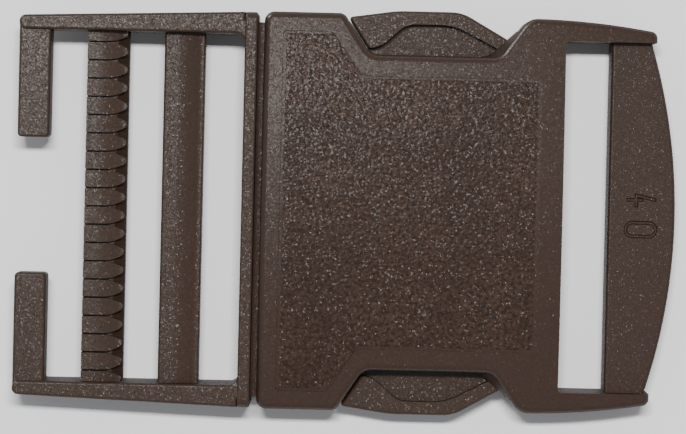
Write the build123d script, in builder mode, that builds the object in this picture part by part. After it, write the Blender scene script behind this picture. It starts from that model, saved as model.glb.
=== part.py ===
from build123d import *
from math import ceil, hypot, radians, sqrt, tan
import os

os.makedirs("parts", exist_ok=True)

# A fastened side release buckle for 40 mm webbing, lying flat.
# X runs from the plug's outer bar to the socket's end bar, Y across the
# webbing and Z up from the floor. X and Y are zero in the middle. Sizes in mm.

# The webbing and the room beside it in every slot
strap_width = 40.0
strap_play = 1.15

# Lengths along X, in order from the plug's outer bar to the socket's end bar
outer_bar = 3.8
slot_a = 4.35
ribbed_bar = 4.9
slot_b = 4.35
smooth_bar = 4.85
slot_c = 4.85
base_bar = 1.5
seam = 0.8
mouth_to_notch = 9.55
notch_lead = 3.3
notch_floor = 15.45
notch_flare = 3.45
notch_to_slot = 4.5
web_slot = 5.7
end_bar = 8.1

# Widths of the rails beside the webbing
plug_rail_outer = 1.65
plug_rail_base = 2.6
socket_rail = 2.75
socket_rail_end = 2.62
socket_rail_tip = 1.3

# Heights
floor_thick = 2.4
cavity_height = 5.8
roof_thick = 3.8
rail_height = 11.0
base_proud = 0.3
stub_drop = 0.7
stub_thick = 4.9
bar_bottom = 3.6
rib_drop = 2.0
smooth_drop = 2.6
end_bottom = 1.4
end_thick = 6.2

# Plug frame
rail_lift = 1.5
rail_edge = 0.3
rail_end_round = 0.75
slot_c_corner = 1.1
stub_gap = 16.3
stub_corner = 0.5
base_end_round = 0.9
base_edge = 0.25
bar_edge = 0.3
bar_seat = 0.5

# Ribs on the ribbed bar
rib_pitch = 2.2
rib_groove = 0.2
rib_depth = 1.2
rib_flat = 2.6
rib_fall = 0.45
rib_land = 0.45
rib_setback = 0.14
nose_length = 0.3
nose_share = 0.5
core_shoulder = 1.25
core_drop = 2.0

# Smooth bar
smooth_flat = 2.85
smooth_fall = 0.5
lip_width = 0.6

# Shares of a falling crown's slope that its bends take, at its top and at its foot
crown_bend = 0.75
foot_bend = 0.15

# Socket shell
crown_fall = 1.4
slope_lead = 5.0
slope_length = 15.0
slope_angle = 5.0
top_edge = 0.8
bottom_edge = 0.4
socket_corner = 1.2
mouth_wall = 1.05
mouth_depth = 1.9
back_wall = 3.0

# Side notches
notch_depth = 4.97
nose_round = 1.1
floor_round = 1.8
floor_end_round = 1.6
flare_round = 2.2

# Ramp down the notch's floor and far wall to the lip that the arm's tip passes under
lip_floor = 0.1
lip_reach = 1.4
lip_end_reach = 0.3
lip_round = 2.9
ramp_height = 1.8

# Locking wall inside the mouth, and the pocket for the arm's tip
lock_wall = 0.75
lock_lip = 0.67
tip_pocket = 2.15
tip_wall = 1.7

# Rails beside the web slot
rail_bow = 0.1
rail_bow_share = 0.8
rail_setback = 2.75
rail_tip_round = 0.85
slot_corner = 0.55
end_arc = 70.0
end_edge = 0.35

# Shallow grained panel on top of the socket
panel_depth = 0.25
panel_rim = 2.25
panel_notch_rim = 1.05
panel_waist_rim = 2.53
panel_corner = 0.5
panel_bend = 1.5

# Running clearances between plug and socket
neck_clearance = 0.25
height_clearance = 0.3
shoulder_clearance = 0.25
arm_clearance = 0.45
tip_clearance = 0.7
arm_floor_gap = 0.5
arm_roof_gap = 0.5

# Spring arms and their locking heads
neck_reach = 1.7
arm_root_step = 0.6
arm_root_thick = 4.6
arm_thick = 3.55
head_proud = 0.47
head_corner_inset = 0.4
head_rise = 3.15
head_fall = 4.55
head_crest_round = 12.0
head_bend_round = 4.8
head_corner_round = 0.3
arm_end_reach = 2.02
arm_end_thick = 2.2
arm_end_round = 0.8
arm_inner_lag = 0.85
arm_edge = 0.3

# Core-out in each face of the arm's head, and the pad left beside it
core_out = 1.9
core_wall = 1.57
core_inner_wall = 1.4
core_end_wall = 1.2
core_end_width = 0.6
pad_wall = 0.72
pad_lead = 1.0
pad_ramp = 3.2
core_round = 0.6
core_ramp_round = 3.0
core_bend_round = 7.0
core_end_round = 0.25

# Guide tongue
tongue_half = 8.3
tongue_length = 21.6
tongue_corner = 2.5

# Strap width figures on the end bar
mark_stroke = 0.45
mark_depth = 0.3
mark_draft = 22.0
mark_height = 4.1
four_width = 1.45
four_level = 1.25
four_rise = 2.1
four_stem = 0.9
zero_width = 2.1
mark_gap = 1.4
mark_inset = 2.15
mark_middle = 0.4

# Places along X that follow from the lengths
total = (
    outer_bar + slot_a + ribbed_bar + slot_b + smooth_bar + slot_c + base_bar + seam
    + mouth_to_notch + notch_lead + notch_floor + notch_flare + notch_to_slot
    + web_slot + end_bar
)
x_left = -total / 2
x_stub = x_left + outer_bar
x_ribbed = x_stub + slot_a
x_ribbed_end = x_ribbed + ribbed_bar
x_smooth = x_ribbed_end + slot_b
x_smooth_end = x_smooth + smooth_bar
x_base = x_smooth_end + slot_c
x_base_end = x_base + base_bar
x_mouth = x_base_end + seam
x_neck_end = x_mouth + neck_reach
x_notch = x_mouth + mouth_to_notch
x_floor = x_notch + notch_lead
x_floor_end = x_floor + notch_floor
x_notch_end = x_floor_end + notch_flare
x_tip_pocket = x_floor_end + tip_pocket
x_slot = x_notch_end + notch_to_slot
x_end = x_slot + web_slot
x_right = x_end + end_bar
x_rail_tip = x_right - rail_setback
x_rail_bow = (x_notch_end + x_rail_tip) / 2

# Places across Y that follow from the webbing and the walls
slot_half = strap_width / 2 + strap_play
plug_half_outer = slot_half + plug_rail_outer
plug_half_base = slot_half + plug_rail_base
socket_half = slot_half + socket_rail
socket_half_end = slot_half + socket_rail_end
rail_tip_half = slot_half + socket_rail_tip
mouth_half = socket_half - mouth_wall
neck_half = mouth_half - neck_clearance
notch_half = socket_half - notch_depth
lock_half = notch_half + lock_lip
tip_pocket_half = socket_half - tip_wall

# Heights above the floor that follow
roof = floor_thick + cavity_height
socket_height = roof + roof_thick
neck_bottom = floor_thick + height_clearance
neck_top = roof - height_clearance
arm_bottom = floor_thick + arm_floor_gap
arm_top = roof - arm_roof_gap
stub_top = rail_height - stub_drop
rib_top = rail_height - rib_drop
smooth_top = rail_height - smooth_drop

# How far cuts run past what they cut
overrun = 2.0


def mirrored(rows):
    """Rows of x, y and corner radius for the +Y side, followed by those of the -Y side."""
    return rows + [(x, -y, r) for x, y, r in reversed(rows)]


def points(rows):
    """The corner points of outline rows."""
    return [(x, y) for x, y, r in rows]


def radii(rows):
    """The corner radii of outline rows."""
    return [r for x, y, r in rows]


def bend_radius(run, fall, share):
    """Radius of a bend between a level and a slope that takes a share of the slope's length."""
    slope = hypot(run, fall)
    return share * slope * (slope + run) / fall


# Plug frame: two rails and a base bar, open at the outer end

frame_rows = mirrored([
    (x_base, slot_half, slot_c_corner),
    (x_left, slot_half, rail_end_round),
    (x_left, plug_half_outer, rail_end_round),
    (x_base, plug_half_base, 0),
    (x_base, plug_half_base - base_end_round, 0),
    (x_base + base_bar / 2, plug_half_base - base_end_round, 0),
])

with BuildPart() as frame:
    with BuildSketch(Plane.XY):
        with BuildLine():
            FilletPolyline(points(frame_rows), radius=radii(frame_rows), close=True)
        make_face()
    extrude(amount=rail_height)
    with BuildSketch(Plane.XZ):
        with BuildLine():
            Polyline((x_left, 0), (x_left, rail_lift), (x_base, 0), close=True)
        make_face()
    extrude(amount=plug_half_base, both=True, mode=Mode.SUBTRACT)
    fillet(frame.faces().sort_by(Axis.Z)[-1].edges(), radius=rail_edge)

base_rows = [
    (-plug_half_base, 0, 0),
    (-plug_half_base, rail_height + base_proud, base_end_round),
    (plug_half_base, rail_height + base_proud, base_end_round),
    (plug_half_base, 0, 0),
]

with BuildPart() as base:
    with BuildSketch(Plane.YZ.offset(x_base)):
        with BuildLine():
            FilletPolyline(points(base_rows), radius=radii(base_rows), close=True)
        make_face()
    extrude(amount=base_bar)
    fillet(base.faces().sort_by(Axis.Z)[-1].edges().filter_by(Axis.Y), radius=base_edge)

# One end of the split outer bar
stub_rows = [
    (x_left, stub_gap / 2, stub_corner),
    (x_stub, stub_gap / 2, stub_corner),
    (x_stub, slot_half + bar_seat, 0),
    (x_left, slot_half + bar_seat, 0),
]

with BuildPart() as stub:
    with BuildSketch(Plane.XY.offset(stub_top)):
        with BuildLine():
            FilletPolyline(points(stub_rows), radius=radii(stub_rows), close=True)
        make_face()
    extrude(amount=-stub_thick)
    stub_seat = stub.faces().sort_by(Axis.Y)[-1].edges()
    fillet(stub.edges() - stub.edges().filter_by(Axis.Z) - stub_seat, radius=rail_edge)

# One rib: rounded to a nose in plan, its crown falling to a small level land at the nose
rib_half = (rib_pitch - rib_groove) / 2
core_top = rib_top - rib_depth
core_end = core_top - core_drop
x_nose = x_ribbed_end - rib_setback
rib_run = x_nose - rib_land - x_ribbed - rib_flat
crown_rows = [
    (x_ribbed, rib_top, 0),
    (x_ribbed + rib_flat, rib_top, bend_radius(rib_run, rib_fall, crown_bend)),
    (x_nose - rib_land, rib_top - rib_fall, bend_radius(rib_run, rib_fall, foot_bend)),
    (x_nose + overrun, rib_top - rib_fall, 0),
    (x_nose + overrun, core_end, 0),
    (x_ribbed, core_end, 0),
]

with BuildPart() as rib:
    with BuildSketch(Plane.XY.offset(core_end)):
        with BuildLine():
            side = Polyline(
                (x_ribbed, 0),
                (x_ribbed, rib_half),
                (x_ribbed + rib_flat, rib_half),
            )
            flank = TangentArc(
                side @ 1,
                (x_nose - nose_length, rib_half * nose_share),
                tangent=side % 1,
            )
            TangentArc(flank @ 1, (x_nose, 0), tangent=flank % 1)
            mirror(about=Plane.XZ)
        make_face()
    extrude(amount=rib_depth + core_drop)
    with BuildSketch(Plane.XZ):
        with BuildLine():
            FilletPolyline(points(crown_rows), radius=radii(crown_rows), close=True)
        make_face()
    extrude(amount=rib_pitch, both=True, mode=Mode.INTERSECT)

ribbed_rows = [
    (x_ribbed, bar_bottom, bar_edge),
    (x_ribbed, core_top, 0),
    (x_ribbed_end - core_shoulder, core_top, bar_edge),
    (x_ribbed_end, core_end, bar_edge),
    (x_ribbed_end, bar_bottom, bar_edge),
]

with BuildPart() as ribbed:
    with BuildSketch(Plane.XZ):
        with BuildLine():
            FilletPolyline(points(ribbed_rows), radius=radii(ribbed_rows), close=True)
        make_face()
    extrude(amount=slot_half + bar_seat, both=True)
    with GridLocations(0, rib_pitch, 1, 2 * ceil(slot_half / rib_pitch)):
        add(rib.part)
    with BuildSketch(Plane.XY.offset(bar_bottom)):
        with Locations(((x_ribbed + x_ribbed_end) / 2, 0)):
            Rectangle(ribbed_bar, 2 * (slot_half + bar_seat))
    extrude(amount=rib_top, mode=Mode.INTERSECT)

x_smooth_foot = x_smooth_end - lip_width
smooth_foot = smooth_top - smooth_fall
smooth_run = x_smooth_foot - x_smooth - smooth_flat
smooth_rows = [
    (x_smooth, bar_bottom, bar_edge),
    (x_smooth, smooth_top, bar_edge),
    (x_smooth + smooth_flat, smooth_top, bend_radius(smooth_run, smooth_fall, crown_bend)),
    (x_smooth_foot, smooth_foot, bend_radius(smooth_run, smooth_fall, foot_bend)),
    (x_smooth_end, smooth_foot, bar_edge / 2),
    (x_smooth_end, bar_bottom, bar_edge),
]

with BuildPart() as smooth:
    with BuildSketch(Plane.XZ):
        with BuildLine():
            FilletPolyline(points(smooth_rows), radius=radii(smooth_rows), close=True)
        make_face()
    extrude(amount=slot_half + bar_seat, both=True)

# One spring arm on the +Y side, its locking shoulder parallel to the notch's near wall
lean = notch_lead / notch_depth
arm_root = (x_neck_end + x_mouth) / 2
arm_root_half = neck_half - arm_root_step
arm_half = lock_half - arm_clearance
arm_inner = arm_half - arm_thick
head_half = socket_half + head_proud
head_corner_half = socket_half - head_corner_inset
arm_end_half = notch_half + arm_end_reach
x_shoulder = x_floor + shoulder_clearance
x_head_end = x_floor_end - head_fall
x_arm_end = x_tip_pocket - tip_clearance
tip_lean = (head_half - arm_end_half) / (x_arm_end - x_head_end)
arm_rows = [
    (arm_root, arm_root_half, 0),
    (x_notch - lock_wall, arm_half, floor_round),
    (x_shoulder - (arm_half - notch_half) * lean, arm_half, rail_edge),
    (x_shoulder - (head_corner_half - notch_half) * lean, head_corner_half, head_corner_round),
    (x_floor + head_rise, head_half, head_crest_round),
    (x_head_end, head_half, head_bend_round),
    (x_arm_end, arm_end_half, arm_end_round),
    (x_arm_end - arm_end_thick * tip_lean, arm_end_half - arm_end_thick, arm_end_round),
    (x_head_end + arm_inner_lag, arm_inner, head_bend_round),
    (x_notch - lock_wall, arm_inner, head_bend_round),
    (arm_root, arm_root_half - arm_root_thick, 0),
]
pad_half = arm_half + pad_wall
core_half = head_half - core_wall
core_inner = arm_inner + core_inner_wall
x_core_end = x_arm_end - core_end_wall
core_end_half = arm_end_half - core_wall * hypot(1, tip_lean) + core_end_wall * tip_lean
core_rows = [
    (x_shoulder - core_wall, core_inner, core_round),
    (x_shoulder - core_wall, pad_half, core_round),
    (x_floor + pad_lead, pad_half, core_ramp_round),
    (x_floor + pad_lead + pad_ramp, core_half, core_ramp_round),
    (x_head_end - core_wall * tip_lean, core_half, core_bend_round),
    (x_core_end, core_end_half, core_end_round),
    (x_core_end - core_end_width * tip_lean, core_end_half - core_end_width, core_end_round),
    (x_head_end + arm_inner_lag - core_wall, core_inner, core_round),
]

with BuildPart() as arm:
    with BuildSketch(Plane.XY.offset(arm_bottom)):
        with BuildLine():
            FilletPolyline(points(arm_rows), radius=radii(arm_rows), close=True)
        make_face()
    extrude(amount=arm_top - arm_bottom)
    root_edges = arm.faces().sort_by(Axis.X)[0].edges()
    fillet(arm.edges() - arm.edges().filter_by(Axis.Z) - root_edges, radius=arm_edge)
    with BuildSketch(Plane.XY.offset(arm_top - core_out), Plane.XY.offset(arm_bottom)):
        with BuildLine():
            FilletPolyline(points(core_rows), radius=radii(core_rows), close=True)
        make_face()
    extrude(amount=core_out, mode=Mode.SUBTRACT)

tongue_rows = mirrored([
    (arm_root, tongue_half, 0),
    (x_mouth + tongue_length, tongue_half, tongue_corner),
])

with BuildPart() as plug:
    add(frame.part)
    add(base.part)
    add(stub.part)
    add(ribbed.part)
    add(smooth.part)
    mirror(stub.part, about=Plane.XZ)
    with BuildSketch(Plane.XY.offset(neck_bottom)):
        with Locations(((x_base + x_neck_end) / 2, 0)):
            Rectangle(x_neck_end - x_base, 2 * neck_half)
    extrude(amount=neck_top - neck_bottom)
    with BuildSketch(Plane.XY.offset(neck_bottom)):
        with BuildLine():
            FilletPolyline(points(tongue_rows), radius=radii(tongue_rows), close=True)
        make_face()
    extrude(amount=neck_top - neck_bottom)
    add(arm.part)
    mirror(arm.part, about=Plane.XZ)
plug.part.label = "plug"

# Socket: one shell with its crowned top, cut by the cavity and the web slot

rail_bow_half = socket_half_end - rail_bow
rail_run = x_rail_tip - x_rail_bow
rail_turn = (rail_bow_half - rail_tip_half) / rail_run - rail_bow / rail_run
shell_rows = mirrored([
    (x_rail_tip, rail_tip_half, rail_tip_round),
    (x_rail_bow, rail_bow_half, 2 * rail_bow_share * rail_run / rail_turn),
    (x_notch_end, socket_half_end, flare_round),
    (x_floor_end, notch_half, floor_end_round),
    (x_floor, notch_half, floor_round),
    (x_notch, socket_half, nose_round),
    (x_mouth, socket_half, socket_corner),
])
web_slot_rows = mirrored([
    (x_slot, slot_half, slot_corner),
    (x_right, slot_half, 0),
])
panel_half = socket_half - panel_rim
panel_waist_half = notch_half - panel_waist_rim
x_waist = x_notch - panel_notch_rim + (panel_half - panel_waist_half) * lean
panel_rows = mirrored([
    (x_mouth + panel_rim, panel_half, panel_corner),
    (x_notch - panel_notch_rim, panel_half, panel_bend),
    (x_waist, panel_waist_half, panel_bend),
    (x_slot, panel_waist_half, 0),
])
cavity_rows = mirrored([
    (x_mouth - overrun, mouth_half, 0),
    (x_mouth + mouth_depth, mouth_half, 0),
    (x_notch - lock_wall, lock_half, floor_round),
    (x_floor_end - overrun, lock_half, 0),
    (x_floor_end - overrun, tip_pocket_half, 0),
    (x_tip_pocket, tip_pocket_half, 0),
    (x_tip_pocket, notch_half, 0),
    (x_slot - back_wall, panel_waist_half, 0),
])
crown_radius = (socket_half ** 2 + crown_fall ** 2) / (2 * crown_fall)
crown_half = socket_half + overrun
crown_end = crown_radius - sqrt(crown_radius ** 2 - crown_half ** 2)
x_slope = x_right - slope_length
slope_drop = slope_length * tan(radians(slope_angle))
crown_start = Plane(
    origin=(x_mouth - overrun, 0, socket_height), x_dir=(0, 1, 0), z_dir=(1, 0, 0)
)

with BuildSketch(Plane.XY) as above_crown:
    with BuildLine():
        RadiusArc((-crown_half, -crown_end), (crown_half, -crown_end), crown_radius)
        Polyline(
            (crown_half, -crown_end),
            (crown_half, socket_height),
            (-crown_half, socket_height),
            (-crown_half, -crown_end),
        )
    make_face()

with BuildPart() as panel:
    with BuildSketch(Plane.XY.offset(roof)):
        with BuildLine():
            FilletPolyline(points(panel_rows), radius=radii(panel_rows), close=True)
        make_face()
    extrude(amount=socket_height)
    with BuildSketch(crown_start):
        with Locations((0, -panel_depth)):
            add(above_crown.sketch)
    extrude(amount=total, mode=Mode.INTERSECT)

# The lip over the arm's tip, ramping up to the notch's floor and far wall
wall_lean = notch_flare / (socket_half_end - notch_half)
x_lip_start = x_floor - lip_floor
x_lip_end = x_floor_end + (tip_pocket_half - notch_half) * wall_lean
lip_rows = [
    (x_lip_start, notch_half - lip_reach, 0),
    (x_lip_start, notch_half + lip_floor, 0),
    (x_floor_end - lip_reach, notch_half + lip_floor, lip_round),
    (x_lip_end - lip_end_reach, tip_pocket_half, 0),
    (x_lip_end + lip_reach, tip_pocket_half, 0),
    (x_lip_end + lip_reach, notch_half - lip_reach, 0),
]
ramp_rows = [
    (x_lip_start, notch_half - lip_reach, 0),
    (x_lip_start, notch_half, 0),
    (x_floor_end, notch_half, floor_end_round),
    (x_lip_end, tip_pocket_half, 0),
    (x_lip_end + lip_reach, tip_pocket_half, 0),
    (x_lip_end + lip_reach, notch_half - lip_reach, 0),
]

with BuildPart() as lip:
    with BuildSketch(Plane.XY.offset(roof)):
        with BuildLine():
            FilletPolyline(points(lip_rows), radius=radii(lip_rows), close=True)
        make_face()
    with BuildSketch(Plane.XY.offset(roof + ramp_height)):
        with BuildLine():
            FilletPolyline(points(ramp_rows), radius=radii(ramp_rows), close=True)
        make_face()
    loft(ruled=True)

# The end bar, set into the rails, with the webbing's width in figures
bar_half = (slot_half + rail_tip_half) / 2
x_bar_corner = x_right - end_arc + sqrt(end_arc ** 2 - bar_half ** 2)
x_mark = x_end + mark_inset
mark_rise = mark_height - mark_stroke
four_y = mark_middle + mark_gap / 2 + mark_stroke / 2

with BuildPart() as bar:
    with BuildSketch(Plane.XY.offset(end_bottom)):
        with BuildLine():
            ThreePointArc((x_bar_corner, -bar_half), (x_right, 0), (x_bar_corner, bar_half))
            Polyline(
                (x_bar_corner, bar_half),
                (x_end, bar_half),
                (x_end, -bar_half),
                (x_bar_corner, -bar_half),
            )
        make_face()
    extrude(amount=end_thick)
    across = bar.faces().filter_by(Axis.Y).edges()
    fillet(bar.edges() - bar.edges().filter_by(Axis.Z) - across, radius=end_edge)
    with BuildSketch(Plane.XY.offset(end_bottom + end_thick)):
        with BuildLine():
            Polyline(
                (x_mark + mark_rise, four_y + four_stem),
                (x_mark + four_level, four_y + four_width),
                (x_mark + four_level, four_y),
            )
            Line((x_mark, four_y + four_stem), (x_mark + four_rise, four_y + four_stem))
        trace(line_width=mark_stroke)
        with Locations((x_mark + mark_rise / 2, mark_middle - (mark_gap + zero_width) / 2)):
            SlotOverall(mark_height, zero_width)
            SlotOverall(
                mark_height - 2 * mark_stroke,
                zero_width - 2 * mark_stroke,
                mode=Mode.SUBTRACT,
            )
    extrude(amount=-mark_depth, taper=mark_draft, mode=Mode.SUBTRACT)

with BuildPart() as socket:
    with BuildSketch(Plane.XY):
        with BuildLine():
            FilletPolyline(points(shell_rows), radius=radii(shell_rows), close=True)
        make_face()
    extrude(amount=socket_height)
    with BuildSketch(crown_start):
        add(above_crown.sketch)
    with BuildLine():
        Bezier(
            (x_mouth - overrun, 0, socket_height),
            (x_slope - slope_lead, 0, socket_height),
            (x_slope, 0, socket_height),
            (x_right, 0, socket_height - slope_drop),
        )
    sweep(mode=Mode.SUBTRACT)
    tops = socket.faces().filter_by(lambda face: face.center().Z > roof)
    rims = [edge for face in tops for edge in face.edges()]
    rims = ShapeList(
        edge for edge in rims if sum(edge.is_same(other) for other in rims) == 1
    )
    fillet(rims, radius=top_edge)
    fillet(socket.faces().sort_by(Axis.Z)[0].edges(), radius=bottom_edge)
    with BuildSketch(Plane.XY):
        with BuildLine():
            FilletPolyline(points(web_slot_rows), radius=radii(web_slot_rows), close=True)
        make_face()
    extrude(amount=socket_height, mode=Mode.SUBTRACT)
    add(panel.part, mode=Mode.SUBTRACT)
    add(lip.part)
    mirror(lip.part, about=Plane.XZ)
    with BuildSketch(Plane.XY.offset(floor_thick)):
        with BuildLine():
            FilletPolyline(points(cavity_rows), radius=radii(cavity_rows), close=True)
        make_face()
    extrude(amount=roof - floor_thick, mode=Mode.SUBTRACT)
    add(bar.part)
socket.part.label = "socket"

export_step(plug.part, "parts/plug.step")
export_step(socket.part, "parts/socket.step")
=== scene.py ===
import math

import bpy
import bmesh
from mathutils import Matrix, Vector, noise
from mathutils.bvhtree import BVHTree


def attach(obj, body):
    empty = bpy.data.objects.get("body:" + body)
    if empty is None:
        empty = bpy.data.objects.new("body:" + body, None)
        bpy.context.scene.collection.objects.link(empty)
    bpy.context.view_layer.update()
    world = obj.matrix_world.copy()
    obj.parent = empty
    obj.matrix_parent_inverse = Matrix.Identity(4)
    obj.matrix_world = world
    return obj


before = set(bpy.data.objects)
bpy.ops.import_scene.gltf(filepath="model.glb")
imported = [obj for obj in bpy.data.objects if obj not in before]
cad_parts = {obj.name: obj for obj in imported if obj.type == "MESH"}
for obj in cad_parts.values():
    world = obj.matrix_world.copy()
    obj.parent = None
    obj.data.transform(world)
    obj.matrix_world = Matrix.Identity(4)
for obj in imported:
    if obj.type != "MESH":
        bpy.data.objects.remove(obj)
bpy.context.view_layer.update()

MM = 0.001


# Camera: above the buckle, looking almost straight down, as in the photograph

CAMERA_PLACE = Vector((-0.38, 10.0, 506.0)) * MM
CAMERA_TARGET = Vector((-0.38, -0.697, 6.0)) * MM
CAMERA_ROLL = math.radians(1.35)
CAMERA_LENS = 216.5
CAMERA_SENSOR = 36.0
CAMERA_NEAR = 0.05
CAMERA_FAR = 10.0

camera_data = bpy.data.cameras.new("camera")
camera_data.lens = CAMERA_LENS
camera_data.sensor_width = CAMERA_SENSOR
camera_data.clip_start = CAMERA_NEAR
camera_data.clip_end = CAMERA_FAR
camera = bpy.data.objects.new("camera", camera_data)
bpy.context.scene.collection.objects.link(camera)
back = (CAMERA_PLACE - CAMERA_TARGET).normalized()
level_up = Vector((-math.sin(CAMERA_ROLL), math.cos(CAMERA_ROLL), 0.0))
right = level_up.cross(back).normalized()
upward = back.cross(right)
turn = Matrix((right, upward, back)).transposed()
camera.matrix_world = Matrix.Translation(CAMERA_PLACE) @ turn.to_4x4()
bpy.context.scene.camera = camera


# Materials

# Walls are rougher and shine less than faces that look up: the levels are how far up a
# surface's normal points where it counts as a wall, and where it counts as a face
WALL_ROUGH = 0.55
WALL_SHINE = 0.15
WALL_LEVEL = 0.30
FACE_LEVEL = 0.92

PLASTIC_IOR = 1.48
NOISE_DETAIL = 3.0

# Wide faint clouds of the plastic's own tone, and fine lumps of the mould's finish, whose pits also
# darken the colour as painted shade
CLOUD_PER_MM = 0.09
CLOUD_ROUGH = 0.5
CLOUD_SPAN = (0.30, 0.70)
CLOUD_LEAST = 0.6
LUMP_ROUGH = 0.6
PIT_SHADE_SPAN = (0.34, 0.66)

# The higher the power, the fewer of the facets lean far enough to glint
GLINT_POWER = 2.0


class Nodes:
    """A short way to write a material's nodes."""

    def __init__(self, name):
        self.material = bpy.data.materials.new(name)
        self.material.use_nodes = True
        self.tree = self.material.node_tree
        self.shader = self.tree.nodes["Principled BSDF"]

    def put(self, node, inputs):
        """Set a node's inputs, and link those whose value is another node's output."""
        for key, value in inputs.items():
            if isinstance(value, bpy.types.NodeSocket):
                self.tree.links.new(value, node.inputs[key])
            else:
                node.inputs[key].default_value = value

    def add(self, kind, inputs, **settings):
        """A new node, with its settings made before its inputs."""
        node = self.tree.nodes.new(kind)
        for key, value in settings.items():
            setattr(node, key, value)
        self.put(node, inputs)
        return node

    def math(self, operation, first, second):
        node = self.add("ShaderNodeMath", {0: first, 1: second}, operation=operation)
        return node.outputs[0]

    def vector(self, operation, inputs):
        return self.add("ShaderNodeVectorMath", inputs, operation=operation).outputs[0]

    def mix(self, share, first, second):
        """A colour between two, which are the node's inputs 6 and 7. Output 2 is the result."""
        inputs = {"Factor": share, 6: first, 7: second}
        return self.add("ShaderNodeMix", inputs, data_type="RGBA").outputs[2]

    def noise(self, place, per_mm, rough):
        inputs = {
            "Vector": place,
            "Scale": per_mm / MM,
            "Detail": NOISE_DETAIL,
            "Roughness": rough,
        }
        return self.add("ShaderNodeTexNoise", inputs).outputs["Fac"]

    def spread(self, value, low, high, to_low=0.0, to_high=1.0):
        """The value eased from one range onto another."""
        inputs = {
            "Value": value,
            "From Min": low,
            "From Max": high,
            "To Min": to_low,
            "To Max": to_high,
        }
        node = self.add("ShaderNodeMapRange", inputs, interpolation_type="SMOOTHSTEP")
        return node.outputs["Result"]


def moulded_plastic(name, dark, light, rough, shine, lump_per_mm, facet_mm, tilt, bump_mm):
    """Dark brown moulded acetal with a spark-eroded finish.

    Clouds vary its own tone. Its colour is darkened in the pits between the lumps as painted shade,
    and lighter on the lumps' tops. Some of its small facets lean enough to glint.
    """
    nodes = Nodes(name)
    place = nodes.add("ShaderNodeTexCoord", {}).outputs["Object"]
    normal = nodes.add("ShaderNodeNewGeometry", {}).outputs["Normal"]
    cloud = nodes.noise(place, CLOUD_PER_MM, CLOUD_ROUGH)
    lumps = nodes.noise(place, lump_per_mm, LUMP_ROUGH)
    clouded = nodes.spread(cloud, *CLOUD_SPAN, CLOUD_LEAST, 1.0)
    # Painted shade: the lumps' noise is also the bump's height, so the colour darkens in the low
    # pits and lightens on the lumps' tops; the clouds are the plastic's own tone
    tone_and_pit_shade = nodes.math("MULTIPLY", clouded, nodes.spread(lumps, *PIT_SHADE_SPAN))
    axes = nodes.add("ShaderNodeSeparateXYZ", {0: normal})
    level = nodes.spread(axes.outputs["Z"], WALL_LEVEL, FACE_LEVEL)

    cells = nodes.add("ShaderNodeTexVoronoi", {"Vector": place, "Scale": 1 / (facet_mm * MM)})
    colour = cells.outputs["Color"]
    parts = nodes.add("ShaderNodeSeparateColor", {0: colour})
    steep = nodes.math("POWER", parts.outputs["Blue"], GLINT_POWER)
    steep = nodes.math("MULTIPLY", steep, tilt)
    centred = nodes.vector("SUBTRACT", {0: colour, 1: (0.5, 0.5, 0.5)})
    lean = nodes.vector("SCALE", {0: centred, "Scale": steep})
    facing = nodes.vector("ADD", {0: normal, 1: lean})
    facet = nodes.vector("NORMALIZE", {0: facing})
    bump_inputs = {
        "Strength": 1.0,
        "Distance": bump_mm * MM,
        "Height": lumps,
        "Normal": facet,
    }
    bump = nodes.add("ShaderNodeBump", bump_inputs)

    shader_inputs = {
        "Base Color": nodes.mix(tone_and_pit_shade, dark, light),
        "IOR": PLASTIC_IOR,
        "Roughness": nodes.spread(level, 0.0, 1.0, WALL_ROUGH, rough),
        "Specular IOR Level": nodes.spread(level, 0.0, 1.0, WALL_SHINE, shine),
        "Normal": bump.outputs["Normal"],
    }
    nodes.put(nodes.shader, shader_inputs)
    return nodes.material


# dark is the colour in the painted-shade pits and the darker clouds, light the colour on the lumps'
# tops and the lighter clouds
plug_plastic = moulded_plastic(
    "plug_plastic",
    dark=(0.030, 0.0177, 0.0121, 1),
    light=(0.042, 0.0250, 0.0172, 1),
    rough=0.28,
    shine=0.48,
    lump_per_mm=3.4,
    facet_mm=0.14,
    tilt=0.47,
    bump_mm=0.008,
)
socket_plastic = moulded_plastic(
    "socket_plastic",
    dark=(0.029, 0.0163, 0.0109, 1),
    light=(0.038, 0.0217, 0.0147, 1),
    rough=0.30,
    shine=0.50,
    lump_per_mm=3.4,
    facet_mm=0.14,
    tilt=0.35,
    bump_mm=0.006,
)
panel_plastic = moulded_plastic(
    "panel_plastic",
    dark=(0.019, 0.0105, 0.0070, 1),
    light=(0.050, 0.0285, 0.0194, 1),
    rough=0.26,
    shine=0.36,
    lump_per_mm=2.4,
    facet_mm=0.18,
    tilt=0.90,
    bump_mm=0.012,
)


def finish_with(node, material):
    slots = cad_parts[node].data.materials
    slots.clear()
    slots.append(material)


finish_with("plug", plug_plastic)
finish_with("socket", socket_plastic)


# Grain on the socket's sunk panel: a skin bedded in the roof, its top a little above the
# panel's floor. Sizes in mm

GRID = 0.14
PANEL_LEFT = -7.95
PANEL_RIGHT = 24.2
PANEL_HALF = 21.62
PANEL_WAIST_HALF = 16.38
PANEL_BEND = (-1.9, 1.8)
SKIN_BOTTOM = 10.0
RAY_START = 20.0

# The skin's top dives into the roof along its edges, over a longer run at the right end
EDGE_RUN = 0.35
EDGE_SINK = 0.12
END_RUN = 1.8

# Lumps and smaller specks per mm along X and Y, the layer of noise that each is read from,
# and how much each adds to the grain's height
GRAIN_RISE = 0.05
GRAIN_MEAN = 0.45
LUMP_RATE = (2.6, 3.0)
LUMP_LAYER = 4.0
LUMP_SHARE = 0.5
SPECK_RATE = (6.0, 6.6)
SPECK_SHIFT = 9.0
SPECK_LAYER = 11.0
SPECK_SHARE = 0.6


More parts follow.
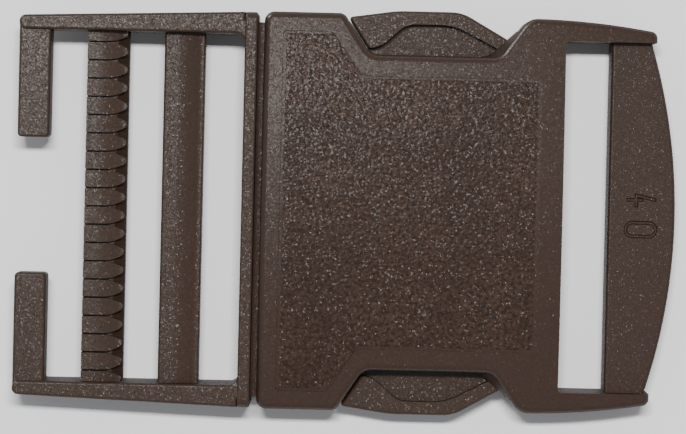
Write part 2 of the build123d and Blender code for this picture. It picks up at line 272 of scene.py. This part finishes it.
def panel_half(x):
    """Half the panel's width at x: wide by the mouth, narrower between the side notches."""
    share = (x - PANEL_BEND[0]) / (PANEL_BEND[1] - PANEL_BEND[0])
    share = min(max(share, 0.0), 1.0)
    return PANEL_HALF + (PANEL_WAIST_HALF - PANEL_HALF) * share


def grain(x, y):
    """Height of the eroded grain at a place on the panel, 0 in its pits and about 1 on its lumps."""
    lump = noise.noise(Vector((x * LUMP_RATE[0], y * LUMP_RATE[1], LUMP_LAYER)))
    speck_place = Vector((x * SPECK_RATE[0] + SPECK_SHIFT, y * SPECK_RATE[1], SPECK_LAYER))
    speck = noise.noise(speck_place)
    return max(GRAIN_MEAN + LUMP_SHARE * lump + SPECK_SHARE * speck, 0.0)


def grained_panel():
    """The skin as one closed mesh: a grained top, short sides and a flat underside."""
    socket = BVHTree.FromObject(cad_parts["socket"], bpy.context.evaluated_depsgraph_get())
    columns = round((PANEL_RIGHT - PANEL_LEFT) / GRID)
    rows = round(2 * PANEL_HALF / GRID)
    mesh = bmesh.new()
    top = []
    for i in range(columns + 1):
        x = PANEL_LEFT + (PANEL_RIGHT - PANEL_LEFT) * i / columns
        half = panel_half(x)
        line = []
        for j in range(rows + 1):
            y = half * (2 * j / rows - 1)
            struck = socket.ray_cast(Vector((x, y, RAY_START)) * MM, Vector((0, 0, -1)))[0]
            inward = min(x - PANEL_LEFT, half - abs(y)) / EDGE_RUN
            inward = min(inward, (PANEL_RIGHT - x) / END_RUN, 1.0)
            height = GRAIN_RISE * grain(x, y) * inward - EDGE_SINK * (1 - inward)
            line.append(mesh.verts.new(Vector((x, y, struck.z / MM + height)) * MM))
        top.append(line)
    for i in range(columns):
        for j in range(rows):
            corners = (top[i][j], top[i + 1][j], top[i + 1][j + 1], top[i][j + 1])
            mesh.faces.new(corners).smooth = True
    rim = [top[i][0] for i in range(columns)]
    rim += [top[columns][j] for j in range(rows)]
    rim += [top[i][rows] for i in range(columns, 0, -1)]
    rim += [top[0][j] for j in range(rows, 0, -1)]
    feet = [mesh.verts.new((v.co.x, v.co.y, SKIN_BOTTOM * MM)) for v in rim]
    for k in range(len(rim)):
        mesh.faces.new((rim[k - 1], feet[k - 1], feet[k], rim[k]))
    mesh.faces.new(list(reversed(feet)))
    bmesh.ops.recalc_face_normals(mesh, faces=mesh.faces)
    data = bpy.data.meshes.new("socket_panel_grain")
    mesh.to_mesh(data)
    mesh.free()
    piece = bpy.data.objects.new("socket_panel_grain", data)
    bpy.context.scene.collection.objects.link(piece)
    data.materials.append(panel_plastic)
    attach(piece, "root")


grained_panel()


# Floor, a hair below the buckle so that it isn't in one plane with the undersides

FLOOR_HALF = 3.0
FLOOR_HEIGHT = -0.02
FLOOR_COLOUR = (0.86, 0.86, 0.87, 1)
FLOOR_ROUGH = 0.9

floor_corners = [
    (-FLOOR_HALF, -FLOOR_HALF, 0),
    (FLOOR_HALF, -FLOOR_HALF, 0),
    (FLOOR_HALF, FLOOR_HALF, 0),
    (-FLOOR_HALF, FLOOR_HALF, 0),
]
floor_mesh = bpy.data.meshes.new("floor")
floor_mesh.from_pydata(floor_corners, [], [(0, 1, 2, 3)])
floor = bpy.data.objects.new("floor", floor_mesh)
floor.location.z = FLOOR_HEIGHT * MM
bpy.context.scene.collection.objects.link(floor)
floor_nodes = Nodes("floor")
floor_inputs = {
    "Base Color": FLOOR_COLOUR,
    "Roughness": FLOOR_ROUGH,
    "Specular IOR Level": 0.0,
}
floor_nodes.put(floor_nodes.shader, floor_inputs)
floor_mesh.materials.append(floor_nodes.material)


# Light: a soft sky, a key lamp that lights without gloss, and two lamps that only gloss

SKY_COLOUR = (0.95, 0.97, 1.0, 1)
SKY_STRENGTH = 0.4

world = bpy.data.worlds.new("world")
bpy.context.scene.world = world
world.use_nodes = True
sky = world.node_tree.nodes["Background"]
sky.inputs["Color"].default_value = SKY_COLOUR
sky.inputs["Strength"].default_value = SKY_STRENGTH


def lamp(name, place, size, power, glossy):
    """A flat lamp that points at the buckle's middle and lights either its gloss or the rest.

    Its place is in mm and its power in watts. Its size is its two sides in mm.
    """
    data = bpy.data.lights.new(name, "AREA")
    data.shape = "RECTANGLE"
    data.size = size[0] * MM
    data.size_y = size[1] * MM
    data.energy = power
    light = bpy.data.objects.new(name, data)
    bpy.context.scene.collection.objects.link(light)
    light.location = Vector(place) * MM
    light.rotation_mode = "QUATERNION"
    light.rotation_quaternion = (-light.location).to_track_quat("-Z", "Y")
    light.visible_glossy = glossy
    light.visible_diffuse = not glossy


lamp("key", (0.0, 120.0, 700.0), (150.0, 36.0), 6.65, glossy=False)
lamp("gloss", (-112.0, 132.0, 700.0), (120.0, 50.0), 1.0, glossy=True)
lamp("side", (-420.0, 460.0, 160.0), (240.0, 240.0), 2.6, glossy=True)
